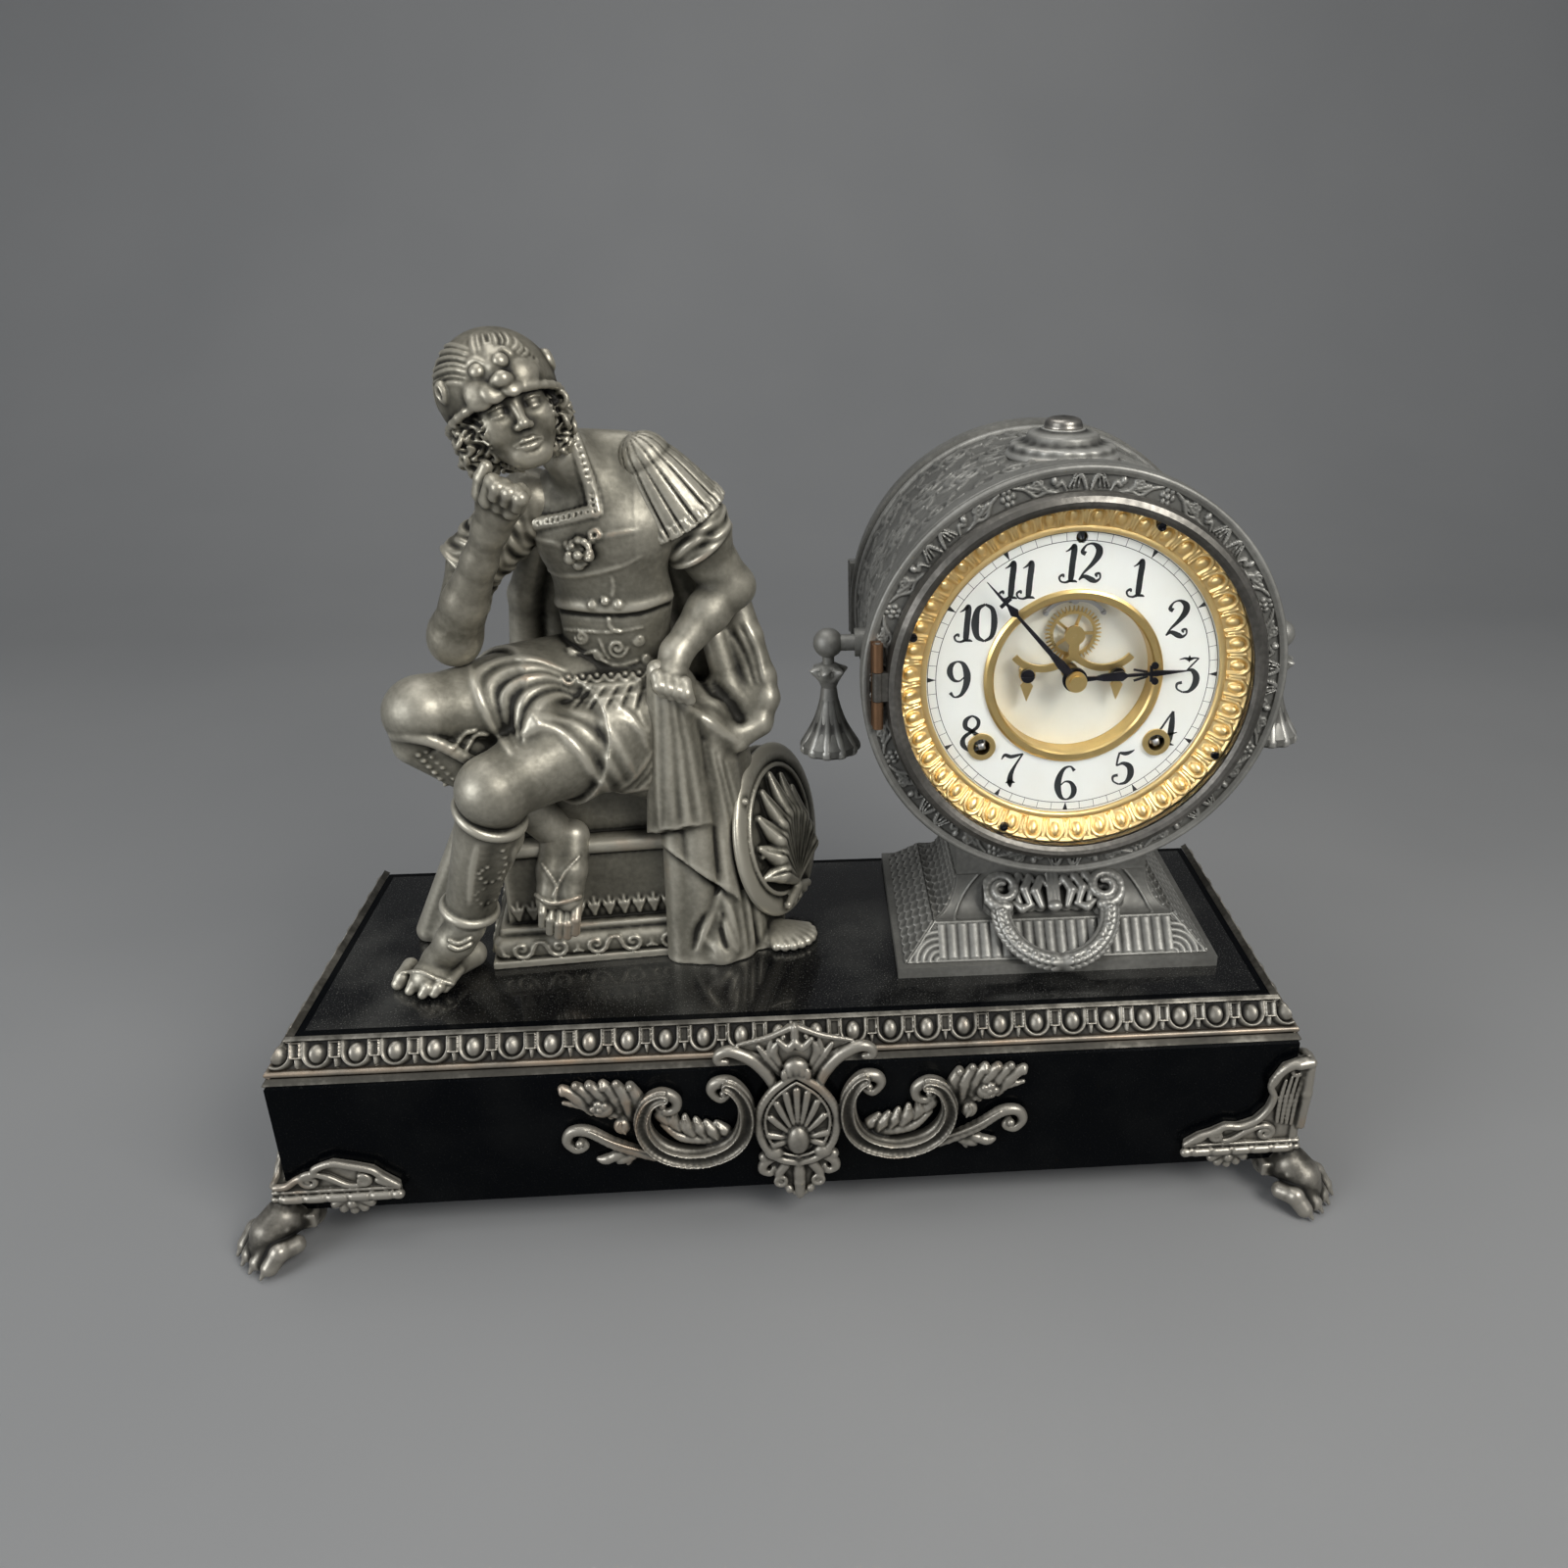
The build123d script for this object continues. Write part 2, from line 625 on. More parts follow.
drapery = limb((-48, -3, 222), (-42, -6, 150), [13, 15.5, 17.5]) + limb((-42, -6, 150), (-40, -5, 90), [17.2, 19])
drapery += limb((-30, 6, 196), (-20, 4, 92), [12, 16, 20.5]) + limb((-14, -4, 112), (-2, -8, 104), [11, 9.5])
for side in (-1, 0, 1):
    drapery += limb((-64 + 20 * side, 16 + side, 302), (-58 + 24 * side, 32, 212), [10, 12.5, 15 + side])
drapery += limb((-26, 20, 262), (-14, 15, 224), [9, 11, 10.2]) + limb((-14, 15, 224), (-42, 8, 208), [10, 11, 10.5])
drapery -= seat
drapery -= figure_body
drapery -= box(-300, 300, -200, 200, 0, TOP_Z)
drapery = biggest(drapery - arm_l - arm_r - figure_head)

SHIELD_C = (-2, 16, 147)
SHIELD_N = (0.93, -0.34, 0.12)
SHIELD_R = 42.0
SHIELD_T = 5.0
SHIELD_DOME = 9.0
shield_profile = make_face(Polyline(
    (0, 0, 0), (SHIELD_R, 0, 0), (SHIELD_R, 0, SHIELD_T), (SHIELD_R - 5, 0, SHIELD_T + 1.5),
    (SHIELD_R - 6, 0, SHIELD_T - 1), (SHIELD_R * 0.5, 0, SHIELD_T + SHIELD_DOME * 0.6),
    (0, 0, SHIELD_T + SHIELD_DOME), close=True))
shield = Plane(origin=SHIELD_C, z_dir=SHIELD_N).location * revolve(shield_profile, Axis.Z)
shield -= box(-100, 100, -100, 100, 0, TOP_Z)
shield = biggest(shield - drapery - seat)


# Drum stand: fluted foot, cove and saddle, with a hanging wreath

stand_mid = (STAND_FRONT + STAND_BACK) / 2
stand_d = STAND_BACK - STAND_FRONT
flute_w = STAND_W - 2 * FLUTE_SET
flute_d = stand_d - 2 * FLUTE_SET
flute_z = TOP_Z + STAND_FILLET
cove_z = flute_z + FLUTE_RISE
neck_w = flute_w - 2 * FLUTE_RUN - 2 * COVE_RUN
neck_d = flute_d - 2 * FLUTE_RUN - 2 * COVE_RUN
stand = box(DRUM_X - STAND_W / 2, DRUM_X + STAND_W / 2, STAND_FRONT, STAND_BACK, TOP_Z, flute_z)
stand += frustum(flute_w, flute_d, flute_z, flute_w - 2 * FLUTE_RUN, flute_d - 2 * FLUTE_RUN, cove_z, DRUM_X, stand_mid)
cove_steps = 4
for i in range(cove_steps):
    a0 = math.radians(90 * i / cove_steps)
    a1 = math.radians(90 * (i + 1) / cove_steps)
    in0, in1 = COVE_RUN * math.sin(a0), COVE_RUN * math.sin(a1)
    up0, up1 = COVE_RISE * (1 - math.cos(a0)), COVE_RISE * (1 - math.cos(a1))
    wide = flute_w - 2 * FLUTE_RUN
    deep = flute_d - 2 * FLUTE_RUN
    stand += frustum(wide - 2 * in0, deep - 2 * in0, cove_z + up0, wide - 2 * in1, deep - 2 * in1, cove_z + up1,
                     DRUM_X, stand_mid)
stand += box(DRUM_X - neck_w / 2, DRUM_X + neck_w / 2, stand_mid - neck_d / 2, stand_mid + neck_d / 2,
             cove_z + COVE_RISE, DRUM_Z - DRUM_R + 14)
stand -= rod_y(DRUM_X, DRUM_Z, DRUM_R + SEAT, -200, 200)
inner_w = neck_w - 2 * STAND_WALL
inner_d = neck_d - 2 * STAND_WALL
stand -= box(DRUM_X - inner_w / 2, DRUM_X + inner_w / 2, stand_mid - inner_d / 2, stand_mid + inner_d / 2,
             TOP_Z, DRUM_Z - DRUM_R - STAND_WALL)
for x, y in STAND_SCREWS:
    stand -= screw_hole(x, y, ceiling)
stand = biggest(stand)

wreath_y = STAND_FRONT + FLUTE_SET + FLUTE_RUN
wreath_plane = Plane(origin=(DRUM_X, wreath_y - 1, cove_z + 4), x_dir=(1, 0, 0), z_dir=(0, -0.62, 0.78))
arc = CenterArc((0, 0), WREATH_R, 170, 200)
ring = sweep(Plane(origin=arc @ 0, z_dir=arc % 0) * Circle(WREATH_T), path=arc)
wreath = wreath_plane.location * ring
for side in (-1, 1):
    hook = wreath_plane.location * Pos(side * WREATH_R * math.cos(math.radians(10)), 4, 0)
    wreath += Pos(*hook.position) * Sphere(WREATH_T + 2)
    wreath += limb(tuple(hook.position), (DRUM_X + side * 6, wreath_y + 7, cove_z + 14), [4, 4.5, 4])
wreath += limb((DRUM_X, wreath_y + 6, cove_z + 3), (DRUM_X, wreath_y + 9, cove_z + 17), [3.5, 4.5, 4])
wreath = biggest(wreath - stand - rod_y(DRUM_X, DRUM_Z, RING_R + GAP, -100, DRUM_BACK))


# Drum: shell with dial flange, front ring, finial and the two side ornaments

inner_r = DRUM_R - DRUM_WALL
shell_profile = [
    (FLANGE_R, DRUM_FRONT), (DRUM_R, DRUM_FRONT), (DRUM_R, DRUM_BACK - REAR_RIM_L),
    (REAR_RIM_R, DRUM_BACK - REAR_RIM_L), (REAR_RIM_R, DRUM_BACK), (inner_r, DRUM_BACK),
    (inner_r, DRUM_FRONT + FLANGE_T), (FLANGE_R, DRUM_FRONT + FLANGE_T)]
drum = turned_y(shell_profile, DRUM_X, DRUM_Z)
drum -= arbor(0, REG_Z, REG_HOLE_R + 0.6, DRUM_FRONT - 1, DRUM_FRONT + FLANGE_T + 1)

ring_profile = [
    (RING_IN, DRUM_FRONT), (DRUM_R + SEAT, DRUM_FRONT), (DRUM_R + SEAT, RING_LIP), (RING_R - 1.5, RING_LIP),
    (RING_R, RING_LIP - 2), (RING_R, RING_FRONT + 3), (RING_R - 2, RING_FRONT), (RING_R - 3.5, RING_FRONT + 0.6),
    (RING_R - 4, RING_FRONT + 2), (RING_IN + 4, RING_FRONT + 2), (RING_IN + 3, RING_FRONT), (RING_IN, RING_FRONT)]
front_ring = turned_y(ring_profile, DRUM_X, DRUM_Z)

finial = turned_z(
    [(0, DRUM_Z), (FINIAL_R - 2, DRUM_Z), (FINIAL_R, DRUM_Z + DRUM_R - 2), (FINIAL_R - 1, DRUM_Z + DRUM_R + 2.5),
     (FINIAL_R - 6, DRUM_Z + DRUM_R + 3.5), (FINIAL_R - 8, DRUM_Z + DRUM_R + 7), (8, DRUM_Z + DRUM_R + 8.5),
     (7.5, FINIAL_TOP - 2), (4, FINIAL_TOP), (0, FINIAL_TOP)], DRUM_X, FINIAL_Y)
finial = biggest(finial - rod_y(DRUM_X, DRUM_Z, DRUM_R + SEAT, -200, 200))


def side_ornament(side):
    x = DRUM_X + side * (DRUM_R + BALL_OUT)
    z = DRUM_Z + BALL_Z
    bottom = z - BELL_DROP - BALL_R
    root = DRUM_X + side * DRUM_R
    piece = Pos(x, 0, z) * Sphere(BALL_R)
    piece += rod_x(0, z, 3.6, min(x, root), max(x, root))
    piece += rod_x(0, z, 6.2, min(root - side * 2, root + side * 5), max(root - side * 2, root + side * 5))
    piece += turned_z(
        [(0, z), (2.6, z), (2.6, z - 11), (6.0, z - 12), (6.2, z - 13.5), (3.4, z - 20), (4.2, z - 26),
         (7.5, z - 38), (BELL_R, z - 46), (BELL_R, z - 49), (BELL_R - 4, bottom), (0, bottom)], x, 0)
    return biggest(piece - rod_y(DRUM_X, DRUM_Z, DRUM_R + SEAT, -200, 200))


ornament_left = side_ornament(-1)
ornament_right = side_ornament(1)


# Hinged doors with knuckles and pins

def knuckle(x, y, z0, z1):
    return rod_z(x, y, KNUCKLE_R, DRUM_Z + z0, DRUM_Z + z1)


third = (HINGE_HIGH - HINGE_LOW) / 3
low_end = HINGE_LOW + third
high_end = HINGE_HIGH - third
hinge_x = DRUM_X - HINGE_OUT
rear_x = DRUM_X - REAR_HINGE_OUT
pins = [rod_z(hinge_x, HINGE_Y, PIN_R, DRUM_Z + HINGE_LOW, DRUM_Z + HINGE_HIGH),
        rod_z(rear_x, REAR_HINGE_Y, PIN_R, DRUM_Z + HINGE_LOW, DRUM_Z + HINGE_HIGH)]


def pin_bore(x, y, r):
    return rod_z(x, y, r, DRUM_Z + HINGE_LOW - 1, DRUM_Z + HINGE_HIGH + 1)


hinge_leaf = box(hinge_x - 2.5, hinge_x + 1.4, RING_FRONT - 1, RING_FRONT, DRUM_Z + HINGE_LOW, DRUM_Z + HINGE_HIGH)
for z0, z1 in ((HINGE_LOW, low_end - GAP), (high_end + GAP, HINGE_HIGH)):
    hinge_leaf += knuckle(hinge_x, HINGE_Y, z0, z1)
    hinge_leaf += box(hinge_x - 1.2, hinge_x + 1.2, HINGE_Y, RING_FRONT, DRUM_Z + z0, DRUM_Z + z1)
hinge_leaf -= pin_bore(hinge_x, HINGE_Y, PIN_R + SEAT / 2)

glass_front = GLASS_BACK - GLASS_T
door = turned_y(
    [(DOOR_IN + 0.4, DOOR_BACK), (DOOR_R, DOOR_BACK), (DOOR_R, -47.4), (DOOR_R - 1.2, DOOR_FRONT + 1),
     (DOOR_R - 3.3, DOOR_FRONT), (DOOR_IN + 1.6, DOOR_FRONT + 0.6), (DOOR_IN, glass_front - SEAT),
     (GLASS_R + SEAT, glass_front - SEAT), (GLASS_R + SEAT, GLASS_BACK + SEAT), (DOOR_IN + 0.4, GLASS_BACK + SEAT)],
    DRUM_X, DRUM_Z)
door += knuckle(hinge_x, HINGE_Y, low_end, high_end)
door += box(hinge_x, hinge_x + 5.5, HINGE_Y - 1.4, HINGE_Y + 1.4, DRUM_Z + low_end, DRUM_Z + high_end)
door -= pin_bore(hinge_x, HINGE_Y, PIN_R + RUN_FIT)
glass = turned_y(
    [(0, GLASS_BACK), (GLASS_R, GLASS_BACK), (GLASS_R, glass_front + 0.9), (GLASS_R - 4, glass_front), (0, glass_front)],
    DRUM_X, DRUM_Z)

rear_y = DRUM_BACK + 0.4
rear_door = turned_y(
    [(0, rear_y + 1), (DRUM_R - 14, rear_y + 1), (DRUM_R - 12, rear_y), (DRUM_R, rear_y), (DRUM_R, rear_y + REAR_DOOR_T),
     (DRUM_R - 11, rear_y + REAR_DOOR_T), (DRUM_R - 13, rear_y + REAR_DOOR_T + 1), (0, rear_y + REAR_DOOR_T + 1)],
    DRUM_X, DRUM_Z)
rear_door += arbor(DRUM_R - 7, 2, 3.6, rear_y + REAR_DOOR_T, rear_y + REAR_DOOR_T + 5)
rear_door += knuckle(rear_x, REAR_HINGE_Y, low_end, high_end)
rear_door += box(rear_x, rear_x + 5, REAR_HINGE_Y - 2, rear_y + REAR_DOOR_T, DRUM_Z + low_end, DRUM_Z + high_end)
rear_door -= pin_bore(rear_x, REAR_HINGE_Y, PIN_R + RUN_FIT)
for z0, z1 in ((HINGE_LOW, low_end - GAP), (high_end + GAP, HINGE_HIGH)):
    drum += knuckle(rear_x, REAR_HINGE_Y, z0, z1)
    drum += box(rear_x - 1.4, rear_x + 1.2, DRUM_BACK - 3, REAR_HINGE_Y, DRUM_Z + z0, DRUM_Z + z1)
drum -= pin_bore(rear_x, REAR_HINGE_Y, PIN_R + SEAT / 2)


# Dial: gilt sight ring, enamel ring, brass well and recessed centre

sight = turned_y(
    [(SIGHT_IN, DIAL_FRONT - SEAT), (SIGHT_IN, DIAL_FRONT - 0.9), (SIGHT_IN + 3, DIAL_FRONT - 2.4),
     (SIGHT_OUT - 4.5, SIGHT_FRONT + 1.4), (SIGHT_OUT - 2, SIGHT_FRONT), (SIGHT_OUT, SIGHT_FRONT),
     (SIGHT_OUT, DRUM_FRONT), (DIAL_R + SEAT, DRUM_FRONT), (DIAL_R + SEAT, DIAL_FRONT - SEAT)], DRUM_X, DRUM_Z)
sight_screws = []
for angle in SIGHT_SCREW_ANGLES:
    sx = SIGHT_SCREW_R * math.cos(math.radians(angle))
    sz = SIGHT_SCREW_R * math.sin(math.radians(angle))
    head = arbor(sx, sz, 1.7, SIGHT_FRONT - 0.6, SIGHT_FRONT + 1.6)
    head -= box(DRUM_X + sx - 2, DRUM_X + sx + 2, SIGHT_FRONT - 1, SIGHT_FRONT - 0.1, DRUM_Z + sz - 0.3, DRUM_Z + sz + 0.3)
    sight_screws.append(head + arbor(sx, sz, 0.9, SIGHT_FRONT + 1.6, DRUM_FRONT - 0.2))
    sight -= arbor(sx, sz, 1.7 + SEAT, SIGHT_FRONT - 3, SIGHT_FRONT + 1.6)
    sight -= arbor(sx, sz, 0.9 + SEAT, SIGHT_FRONT, DRUM_FRONT + 0.1)

well_out = WELL_R + WELL_WALL
dial = turned_y(
    [(well_out + SEAT, DIAL_FRONT), (DIAL_R, DIAL_FRONT), (DIAL_R, DRUM_FRONT), (well_out + SEAT, DRUM_FRONT)],
    DRUM_X, DRUM_Z)
dial -= arbor(0, REG_Z, REG_HOLE_R, DIAL_FRONT - 1, DRUM_FRONT + 1)
grommets = []
for side in (-1, 1):
    dial -= arbor(side * WIND_X, WIND_Z, WIND_HOLE_R, DIAL_FRONT - 1, DRUM_FRONT + 1)
    tube = arbor(side * WIND_X, WIND_Z, WIND_HOLE_R - SEAT, DIAL_FRONT - 1.2, DRUM_FRONT)
    tube += arbor(side * WIND_X, WIND_Z, WIND_HOLE_R + 1.3, DIAL_FRONT - 1.2, DIAL_FRONT)
    grommets.append(tube - arbor(side * WIND_X, WIND_Z, WIND_HOLE_R - GROMMET_T, DIAL_FRONT - 2, DRUM_FRONT + 1))
well = turned_y(
    [(well_out, DIAL_FRONT), (well_out + 2.6, DIAL_FRONT), (well_out + 2.6, DIAL_FRONT - 1.1),
     (well_out + 1.5, DIAL_FRONT - 1.9), (well_out - 0.8, DIAL_FRONT - 1.9), (WELL_R, DIAL_FRONT - 1.1),
     (WELL_R, CENTRE_BACK), (WELL_R - 2.5, CENTRE_BACK), (WELL_R - 2.5, CENTRE_BACK + 1.5),
     (well_out, CENTRE_BACK + 1.5)], DRUM_X, DRUM_Z)
well -= box(DRUM_X - 2.4, DRUM_X + 2.4, CENTRE_BACK - 0.5, CENTRE_BACK + 2,
            DRUM_Z + PALLET_Z - 4, DRUM_Z + WELL_R)
centre_disc = arbor(0, 0, CENTRE_R, CENTRE_FRONT, CENTRE_BACK)
centre_disc -= arbor(0, 0, 3.6, CENTRE_FRONT - 1, CENTRE_BACK + 1)
centre_disc -= arbor(0, ESCAPE_Z, 2.0, CENTRE_FRONT - 1, CENTRE_BACK + 1)
centre_disc -= box(DRUM_X - 2, DRUM_X + 2, CENTRE_FRONT - 1, CENTRE_BACK + 1, DRUM_Z + PALLET_Z - 2, DRUM_Z + CENTRE_R + 1)


# Movement plates and pillars

def rounded_plate():
    middle = (PLATE_LOW + PLATE_HIGH) / 2
    shape = Pos(0, middle) * RectangleRounded(2 * PLATE_HALF_W, PLATE_HIGH - PLATE_LOW, 8)
    return shape + Pos(0, REG_Z - 4) * RectangleRounded(14, 18, 4)


front_plate = slab_y(rounded_plate(), PLATE_FRONT_Y, PLATE_FRONT_Y + MOVE_PLATE_T, DRUM_X, DRUM_Z)
back_plate = slab_y(rounded_plate(), PLATE_BACK_Y, PLATE_BACK_Y + MOVE_PLATE_T, DRUM_X, DRUM_Z)
PILLAR_STEPS = (4.0, 3.2, 2.2)
pillars = []
for x, z in PILLARS:
    r0, r1, r2 = PILLAR_STEPS
    rod = arbor(x, z, r0, DRUM_FRONT + FLANGE_T, PLATE_FRONT_Y)
    rod += arbor(x, z, r1, PLATE_FRONT_Y, PLATE_BACK_Y)
    rod += arbor(x, z, r2, PLATE_BACK_Y, PLATE_BACK_Y + MOVE_PLATE_T)
    pillars.append(rod + arbor(x, z, r1 + 0.6, PLATE_BACK_Y + MOVE_PLATE_T, PLATE_BACK_Y + MOVE_PLATE_T + 3))
    front_plate -= arbor(x, z, r1 + SEAT, PLATE_FRONT_Y - 1, PLATE_BACK_Y)
    back_plate -= arbor(x, z, r2 + SEAT, PLATE_BACK_Y - 1, PLATE_BACK_Y + 5)


def pivot_holes(x, z, r, front=True, back=True):
    global front_plate, back_plate
    if front:
        front_plate -= arbor(x, z, r + RUN_FIT, PLATE_FRONT_Y - 1, PLATE_FRONT_Y + MOVE_PLATE_T + 1)
    if back:
        back_plate -= arbor(x, z, r + RUN_FIT, PLATE_BACK_Y - 1, PLATE_BACK_Y + MOVE_PLATE_T + 1)


# Motion work behind the dial: cannon pinion, minute wheel and hour wheel

centre = (0.0, 0.0)
motion_module = 2 * MOTION_OFFSET / (CANNON_TEETH + MINUTE_TEETH)
hour_module = 2 * MOTION_OFFSET / (MINUTE_PINION_TEETH + HOUR_TEETH)
stud_angle = math.radians(240)
minute_at = (MOTION_OFFSET * math.cos(stud_angle), MOTION_OFFSET * math.sin(stud_angle))
CANNON_Y = -20.6
HOUR_WHEEL_Y = -24.5
STUD_R = 0.8
CENTRE_FRONT_R = 1.2
CANNON_R = 2.0
HOUR_PIPE_R = 2.9

minute_phase = meshed_phase(CANNON_TEETH, 0.0, MINUTE_TEETH, stud_angle)
hour_phase = meshed_phase(MINUTE_PINION_TEETH, 0.0, HOUR_TEETH, stud_angle + math.pi)
NUT_FRONT = -44.6
cannon = gear(CANNON_TEETH, motion_module, 0.0, 0, 0, CANNON_Y, CANNON_Y + 2.6)
cannon += arbor(0, 0, CANNON_R, NUT_FRONT + 0.6, CANNON_Y)
cannon -= arbor(0, 0, CENTRE_FRONT_R + RUN_FIT, NUT_FRONT, CANNON_Y + 3)
minute_wheel = gear(MINUTE_TEETH, motion_module, minute_phase, *minute_at, CANNON_Y + 0.3, CANNON_Y + 1.8)
minute_wheel += gear(MINUTE_PINION_TEETH, hour_module, 0.0, *minute_at, HOUR_WHEEL_Y - 0.2, CANNON_Y + 0.3)
minute_wheel -= arbor(*minute_at, STUD_R + RUN_FIT, HOUR_WHEEL_Y - 1, CANNON_Y + 3)
front_plate += arbor(*minute_at, STUD_R, HOUR_WHEEL_Y - 0.6, PLATE_FRONT_Y)
hour_wheel = gear(HOUR_TEETH, hour_module, hour_phase, 0, 0, HOUR_WHEEL_Y, HOUR_WHEEL_Y + 1.5)
hour_wheel += arbor(0, 0, HOUR_PIPE_R, HOUR_HAND_Y, HOUR_WHEEL_Y)
hour_wheel -= arbor(0, 0, CANNON_R + RUN_FIT, HOUR_HAND_Y - 1, HOUR_WHEEL_Y + 2)


# Hands drawn pointing along +X, then turned to the time shown

def hand(shape, angle, y, bore):
    flat_hand = Rot(0, 0, angle) * (shape - Circle(bore))
    return slab_y(flat_hand, y, y + HAND_T, DRUM_X, DRUM_Z)


minute_shape = Circle(4.2) + Polygon((0, -1.6), (10, -1.9), (16, -1.1), (38, -0.6), (40, -1.9), (44, -0.6),
                                     (46, -0.7), (MINUTE_L, -0.15), (MINUTE_L, 0.15), (46, 0.7), (44, 0.6),
                                     (40, 1.9), (38, 0.6), (16, 1.1), (10, 1.9), (0, 1.6), align=None)
minute_shape += Pos(45.5, 0) * Rectangle(1.4, 5.4)
hour_shape = Circle(5.2) + Polygon((0, -1.4), (9, -0.8), (12, -1.5), (20, -2.1), (22, -0.6), (30, -0.6), (34, -1.2),
                                   (38, -0.9), (HOUR_L, -0.15), (HOUR_L, 0.15), (38, 0.9), (34, 1.2), (30, 0.6),
                                   (22, 0.6), (20, 2.1), (12, 1.5), (9, 0.8), (0, 1.4), align=None)
for side in (-1, 1):
    hour_shape += Pos(33.5, side * 3.4) * Circle(1.5)
    hour_shape += Pos(32, side * 1.8) * Rectangle(1.2, 3.2)
    hour_shape += Pos(27.5, side * 1.7) * Rot(0, 0, side * -14) * Rectangle(6, 0.8)
hour_hand = hand(hour_shape, HOUR_ANGLE, HOUR_HAND_Y, HOUR_PIPE_R + SEAT / 2)
minute_hand = hand(minute_shape, MINUTE_ANGLE, MINUTE_HAND_Y, CANNON_R + SEAT / 2)
nut = arbor(0, 0, 4.4, NUT_FRONT + 1.2, MINUTE_HAND_Y) + arbor(0, 0, 3.0, NUT_FRONT, NUT_FRONT + 1.2)
nut -= arbor(0, 0, CANNON_R + SEAT / 2, NUT_FRONT + 0.5, MINUTE_HAND_Y + 1)


# Going train: great wheel, second wheel, centre wheel, third wheel and escape wheel

great_at = (WIND_X, WIND_Z)
strike_at = (-WIND_X, WIND_Z)
escape_at = (0.0, ESCAPE_Z)
second_reach = (SECOND_TEETH + CENTRE_PINION_TEETH) * SECOND_MODULE / 2
great_reach = (GREAT_TEETH + SECOND_PINION_TEETH) * GREAT_MODULE / 2
third_reach = (CENTRE_TEETH + THIRD_PINION_TEETH) * CENTRE_MODULE / 2
escape_reach = (THIRD_TEETH + ESCAPE_PINION_TEETH) * THIRD_MODULE / 2
second_at = bearing(great_at, centre, great_reach, second_reach)
third_at = bearing(escape_at, centre, escape_reach, third_reach)

second_pinion_phase = meshed_phase(GREAT_TEETH, 0.0, SECOND_PINION_TEETH, direction(great_at, second_at))
centre_pinion_phase = meshed_phase(SECOND_TEETH, 0.0, CENTRE_PINION_TEETH, direction(second_at, centre))
third_pinion_phase = meshed_phase(CENTRE_TEETH, 0.0, THIRD_PINION_TEETH, direction(centre, third_at))
escape_pinion_phase = meshed_phase(THIRD_TEETH, 0.0, ESCAPE_PINION_TEETH, direction(third_at, escape_at))

GREAT_Y = 12.0
SECOND_Y = 17.0
CENTRE_Y = 4.0
THIRD_Y = -6.0
BARREL_R = 22.0
BARREL_Y = -8.0
WIND_R = 3.0
END_PLAY = 0.4
front_in = PLATE_FRONT_Y + MOVE_PLATE_T
back_out = PLATE_BACK_Y + MOVE_PLATE_T


def barrel(at):
    piece = gear(GREAT_TEETH, GREAT_MODULE, 0.0, *at, GREAT_Y, GREAT_Y + 2.5)
    piece += arbor(*at, BARREL_R, BARREL_Y, GREAT_Y)
    return piece - arbor(*at, WIND_R + RUN_FIT, BARREL_Y - 1, GREAT_Y + 4)


def winding_arbor(at):
    key_y = DIAL_FRONT + 2.5
    piece = arbor(*at, WIND_R, PLATE_FRONT_Y - 4, back_out + 1.5)
    square = slab_y(Rectangle(3.8, 3.8), key_y, PLATE_FRONT_Y - 4, DRUM_X + at[0], DRUM_Z + at[1])
    ratchet = [(r * math.cos(a), r * math.sin(a)) for k in range(16)
               for r, a in ((9.0, 2 * math.pi * k / 16), (7.2, 2 * math.pi * (k + 0.12) / 16))]
    collar = slab_y(Polygon(*ratchet, align=None), GREAT_Y + 2.5 + END_PLAY, GREAT_Y + 5, DRUM_X + at[0], DRUM_Z + at[1])
    pivot_holes(*at, WIND_R)
    return piece + square + collar


time_barrel = barrel(great_at)
strike_barrel = barrel(strike_at)
time_arbor = winding_arbor(great_at)
strike_arbor = winding_arbor(strike_at)

second_wheel = gear(SECOND_PINION_TEETH, GREAT_MODULE, second_pinion_phase, *second_at, GREAT_Y - 0.4, GREAT_Y + 2.9)
second_wheel += gear(SECOND_TEETH, SECOND_MODULE, 0.0, *second_at, SECOND_Y, SECOND_Y + 1.5)
second_wheel += arbor(*second_at, 1.3, front_in - MOVE_PLATE_T, back_out)
pivot_holes(*second_at, 1.3)

centre_wheel = gear(CENTRE_PINION_TEETH, SECOND_MODULE, centre_pinion_phase, 0, 0, SECOND_Y - 0.5, SECOND_Y + 2)
centre_wheel += gear(CENTRE_TEETH, CENTRE_MODULE, 0.0, 0, 0, CENTRE_Y, CENTRE_Y + 1.2)
centre_wheel += arbor(0, 0, ARBOR_R, front_in + END_PLAY, PLATE_BACK_Y - END_PLAY)
centre_wheel += arbor(0, 0, CENTRE_FRONT_R, DIAL_FRONT, back_out)
pivot_holes(0, 0, CENTRE_FRONT_R)

third_wheel = gear(THIRD_PINION_TEETH, CENTRE_MODULE, third_pinion_phase, *third_at, CENTRE_Y - 0.6, CENTRE_Y + 1.8)
third_wheel += gear(THIRD_TEETH, THIRD_MODULE, 0.0, *third_at, THIRD_Y, THIRD_Y + 1.0)
third_wheel += arbor(*third_at, FINE_ARBOR_R, front_in - MOVE_PLATE_T, back_out)
pivot_holes(*third_at, FINE_ARBOR_R)

